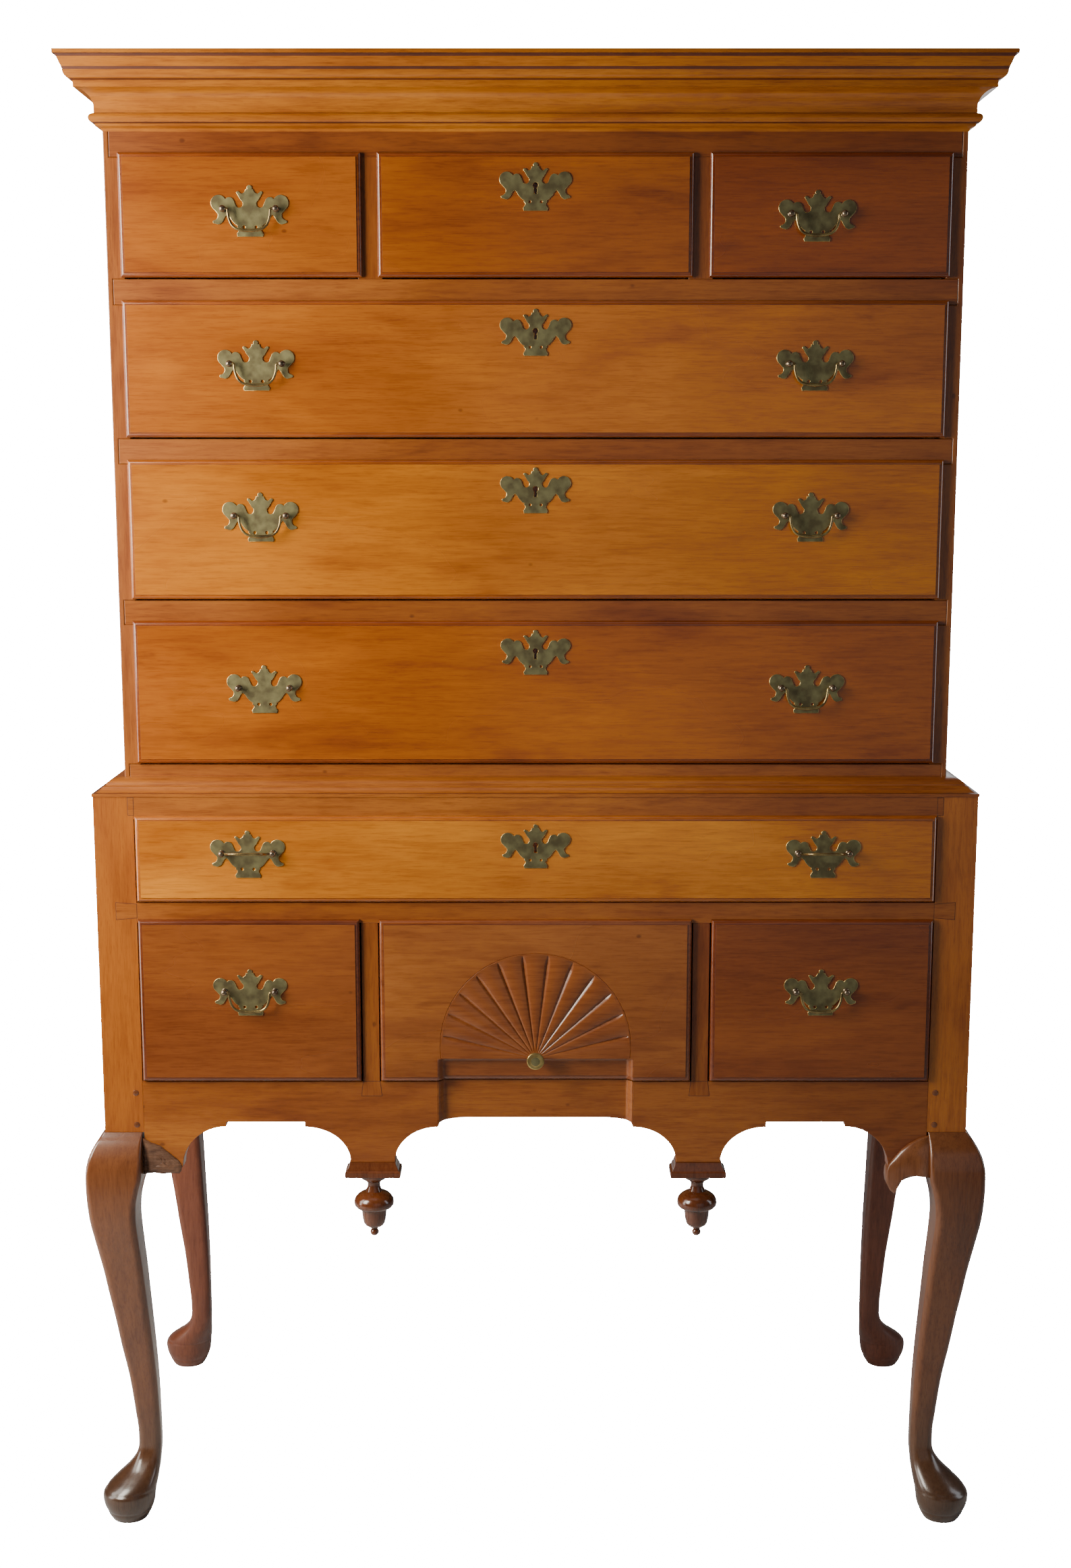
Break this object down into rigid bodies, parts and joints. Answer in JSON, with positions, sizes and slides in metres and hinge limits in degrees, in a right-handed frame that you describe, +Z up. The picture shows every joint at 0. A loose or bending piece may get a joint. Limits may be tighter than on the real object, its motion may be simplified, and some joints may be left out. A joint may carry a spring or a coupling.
{
  "type": "tall chest of drawers",
  "caption": "Two-part tall chest with moulded cornice, lipped sliding drawers, brass bail pulls, carved fan, shaped skirt with drops and cabriole legs.",
  "frame": {"origin": "on the floor, below the middle of the chest's box, which runs from the raised bails to the back legs' knees", "axes": "front faces -Y, +X to the right as seen from the front, +Z up"},
  "size_m": [1.033, 0.5208, 1.6635],
  "materials": {
    "maple_case": "old satin varnish",
    "maple_front": "old satin varnish, honey colour",
    "maple_leg": "darker stained, satin varnish",
    "pine_inside": "bare, oxidised pine",
    "brass": "aged, bright on worn edges"
  },
  "bodies": {
    "case": {"upper_sides": "maple_case", "upper_boards": "pine_inside", "upper_back": "pine_inside", "upper_rails_and_dividers": "maple_case", "upper_runners": "pine_inside", "cornice": "maple_case", "waist_moulding": "maple_case", "lower_sides": "maple_case", "lower_top": "pine_inside", "lower_back": "pine_inside", "lower_rails_and_dividers": "maple_case", "skirt": "maple_case", "lower_runners": "pine_inside", "leg_front_left": "maple_leg", "leg_front_right": "maple_leg", "legs_rear": "maple_leg", "knee_brackets": "maple_leg", "pendants": "maple_case", "pegs": "maple_leg"},
    "top_left_drawer": {"top_left_front": "maple_front", "top_left_box": "pine_inside", "top_left_brass": "brass"},
    "top_left_bail": {"top_left_bail": "brass"},
    "top_centre_drawer": {"top_centre_front": "maple_front", "top_centre_box": "pine_inside", "top_centre_brass": "brass"},
    "top_right_drawer": {"top_right_front": "maple_front", "top_right_box": "pine_inside", "top_right_brass": "brass"},
    "top_right_bail": {"top_right_bail": "brass"},
    "upper_long_drawer": {"upper_long_front": "maple_front", "upper_long_box": "pine_inside", "upper_long_brass": "brass"},
    "upper_long_bail_left": {"upper_long_bail_left": "brass"},
    "upper_long_bail_right": {"upper_long_bail_right": "brass"},
    "middle_long_drawer": {"middle_long_front": "maple_front", "middle_long_box": "pine_inside", "middle_long_brass": "brass"},
    "middle_long_bail_left": {"middle_long_bail_left": "brass"},
    "middle_long_bail_right": {"middle_long_bail_right": "brass"},
    "lower_long_drawer": {"lower_long_front": "maple_front", "lower_long_box": "pine_inside", "lower_long_brass": "brass"},
    "lower_long_bail_right": {"lower_long_bail_right": "brass"},
    "base_long_drawer": {"base_long_front": "maple_front", "base_long_box": "pine_inside", "base_long_brass": "brass"},
    "base_long_bail_left": {"base_long_bail_left": "brass"},
    "base_long_bail_right": {"base_long_bail_right": "brass"},
    "base_left_drawer": {"base_left_front": "maple_front", "base_left_box": "pine_inside", "base_left_brass": "brass"},
    "base_left_bail": {"base_left_bail": "brass"},
    "base_fan_drawer": {"base_fan_front": "maple_front", "base_fan_box": "pine_inside", "base_fan_brass": "brass"},
    "base_right_drawer": {"base_right_front": "maple_front", "base_right_box": "pine_inside", "base_right_brass": "brass"},
    "base_right_bail": {"base_right_bail": "brass"}
  },
  "joints": [
    {"name": "top_left_slide", "type": "slide", "parent": "case", "child": "top_left_drawer", "axis": [0, -1, 0], "range_m": [0, 0.3]},
    {"name": "top_left_bail_hinge", "type": "hinge", "parent": "top_left_drawer", "child": "top_left_bail", "pos_m": [-0.307, -0.20587, 1.505], "axis": [-1, 0, 0], "range_deg": [-14, 110]},
    {"name": "top_centre_slide", "type": "slide", "parent": "case", "child": "top_centre_drawer", "axis": [0, -1, 0], "range_m": [0, 0.3]},
    {"name": "top_right_slide", "type": "slide", "parent": "case", "child": "top_right_drawer", "axis": [0, -1, 0], "range_m": [0, 0.3]},
    {"name": "top_right_bail_hinge", "type": "hinge", "parent": "top_right_drawer", "child": "top_right_bail", "pos_m": [0.303, -0.20587, 1.5], "axis": [-1, 0, 0], "range_deg": [-14, 110]},
    {"name": "upper_long_slide", "type": "slide", "parent": "case", "child": "upper_long_drawer", "axis": [0, -1, 0], "range_m": [0, 0.3]},
    {"name": "upper_long_bail_left_hinge", "type": "hinge", "parent": "upper_long_drawer", "child": "upper_long_bail_left", "pos_m": [-0.304, -0.20587, 1.343], "axis": [-1, 0, 0], "range_deg": [-14, 110]},
    {"name": "upper_long_bail_right_hinge", "type": "hinge", "parent": "upper_long_drawer", "child": "upper_long_bail_right", "pos_m": [0.304, -0.20587, 1.343], "axis": [-1, 0, 0], "range_deg": [-14, 110]},
    {"name": "middle_long_slide", "type": "slide", "parent": "case", "child": "middle_long_drawer", "axis": [0, -1, 0], "range_m": [0, 0.3]},
    {"name": "middle_long_bail_left_hinge", "type": "hinge", "parent": "middle_long_drawer", "child": "middle_long_bail_left", "pos_m": [-0.303, -0.20587, 1.18], "axis": [-1, 0, 0], "range_deg": [-14, 110]},
    {"name": "middle_long_bail_right_hinge", "type": "hinge", "parent": "middle_long_drawer", "child": "middle_long_bail_right", "pos_m": [0.303, -0.20587, 1.18], "axis": [-1, 0, 0], "range_deg": [-14, 110]},
    {"name": "lower_long_slide", "type": "slide", "parent": "case", "child": "lower_long_drawer", "axis": [0, -1, 0], "range_m": [0, 0.3]},
    {"name": "lower_long_bail_right_hinge", "type": "hinge", "parent": "lower_long_drawer", "child": "lower_long_bail_right", "pos_m": [0.303, -0.20587, 0.99], "axis": [-1, 0, 0], "range_deg": [-14, 110]},
    {"name": "base_long_slide", "type": "slide", "parent": "case", "child": "base_long_drawer", "axis": [0, -1, 0], "range_m": [0, 0.3]},
    {"name": "base_long_bail_left_hinge", "type": "hinge", "parent": "base_long_drawer", "child": "base_long_bail_left", "pos_m": [-0.322, -0.23657, 0.808], "axis": [-1, 0, 0], "range_deg": [-114, 10]},
    {"name": "base_long_bail_right_hinge", "type": "hinge", "parent": "base_long_drawer", "child": "base_long_bail_right", "pos_m": [0.322, -0.23657, 0.808], "axis": [-1, 0, 0], "range_deg": [-114, 10]},
    {"name": "base_left_slide", "type": "slide", "parent": "case", "child": "base_left_drawer", "axis": [0, -1, 0], "range_m": [0, 0.3]},
    {"name": "base_left_bail_hinge", "type": "hinge", "parent": "base_left_drawer", "child": "base_left_bail", "pos_m": [-0.323, -0.23657, 0.649], "axis": [-1, 0, 0], "range_deg": [-14, 110]},
    {"name": "base_fan_slide", "type": "slide", "parent": "case", "child": "base_fan_drawer", "axis": [0, -1, 0], "range_m": [0, 0.3]},
    {"name": "base_right_slide", "type": "slide", "parent": "case", "child": "base_right_drawer", "axis": [0, -1, 0], "range_m": [0, 0.3]},
    {"name": "base_right_bail_hinge", "type": "hinge", "parent": "base_right_drawer", "child": "base_right_bail", "pos_m": [0.323, -0.23657, 0.649], "axis": [-1, 0, 0], "range_deg": [-14, 110]}
  ]
}
